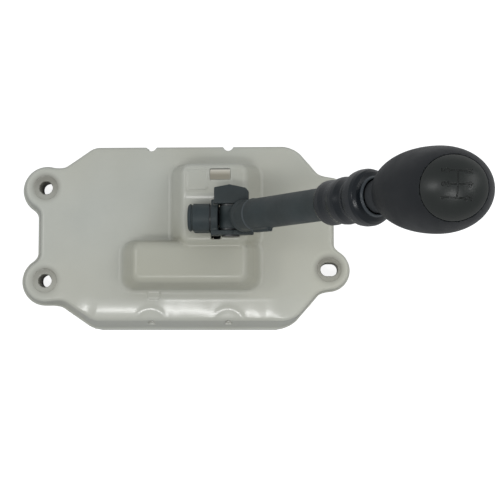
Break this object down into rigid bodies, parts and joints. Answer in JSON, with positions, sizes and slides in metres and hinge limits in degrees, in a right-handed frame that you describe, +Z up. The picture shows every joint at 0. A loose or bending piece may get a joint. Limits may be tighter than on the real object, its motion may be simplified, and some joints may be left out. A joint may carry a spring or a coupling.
{
  "type": "gear shift lever",
  "caption": "Floor-mounted gear-shift lever: moulded base with an L-shaped dome, sideways rocker, leaning lever with an egg knob and a lift collar, and a bellcrank below.",
  "frame": {"origin": "midway between the centres of the two round front bolt holes, on the plane the rim seats on", "axes": "+X to the rear of the car (the lever leans that way), +Y to its right side, +Z up out of the floor"},
  "size_m": [0.3001, 0.1306, 0.243],
  "materials": {
    "housing": "satin moulded plastic",
    "black_plastic": "fine-grained moulded plastic",
    "collar_plastic": "semi-gloss moulded plastic",
    "knob_plastic": "soft-touch plastic",
    "cap_plastic": "satin plastic",
    "bushing": "plain bearing plastic",
    "steel": "bright steel",
    "zinc_steel": "zinc-plated steel",
    "spring_steel": "oiled spring wire",
    "pressed_steel": "black-coated steel",
    "brass": "turned brass",
    "dark_bushing": "plain bearing plastic, black",
    "black_steel": "phosphated black steel"
  },
  "bodies": {
    "base": {"base_housing": "housing", "bearing_barrel": "black_plastic", "barrel_cap": "black_plastic", "barrel_bush_front": "bushing", "barrel_bush_rear": "dark_bushing", "barrel_screws": "zinc_steel", "bellcrank_pin": "steel", "bellcrank_washer": "zinc_steel", "bellcrank_circlip": "spring_steel", "centring_spring": "spring_steel"},
    "rocker": {"rocker_yoke": "black_plastic", "thrust_washer": "zinc_steel", "rocker_circlip": "spring_steel", "cross_pin": "black_steel", "select_ball": "steel"},
    "lever": {"lever_hub": "black_plastic", "pivot_bush_left": "dark_bushing", "pivot_bush_right": "dark_bushing", "shift_stud": "zinc_steel", "lever_rod": "steel", "spring_seat": "zinc_steel", "knob_insert": "brass", "knob_body": "knob_plastic", "knob_cap": "cap_plastic", "lift_spring": "spring_steel"},
    "lift_sleeve": {"lift_tube": "black_plastic", "lift_collar": "collar_plastic", "guide_bush_lower": "bushing", "guide_bush_upper": "bushing"},
    "bellcrank": {"bellcrank": "pressed_steel", "bellcrank_bush": "bushing", "select_stud": "zinc_steel"}
  },
  "joints": [
    {"name": "select", "type": "hinge", "parent": "base", "child": "rocker", "pos_m": [0.1334, 0.0074, 0.055], "axis": [1, 0, 0], "range_deg": [-8, 8], "stiffness_Nm_per_rad": 6},
    {"name": "shift", "type": "hinge", "parent": "rocker", "child": "lever", "pos_m": [0.1334, 0.0074, 0.055], "axis": [0, 1, 0], "range_deg": [-13, 13]},
    {"name": "lift", "type": "slide", "parent": "lever", "child": "lift_sleeve", "axis": [0.6018, 0, 0.7986], "range_m": [0, 0.008], "stiffness_N_per_m": 600, "springref_m": -0.01, "deforming": ["lift_spring"]},
    {"name": "bellcrank_turn", "type": "hinge", "parent": "base", "child": "bellcrank", "pos_m": [0.1091, -0.007, 0.025], "axis": [0, 0, 1], "range_deg": [-13.2, 13.2], "deforming": ["centring_spring"]}
  ],
  "couplings": [
    {"joint": "bellcrank_turn", "follows": "select", "ratio": 1.64}
  ]
}
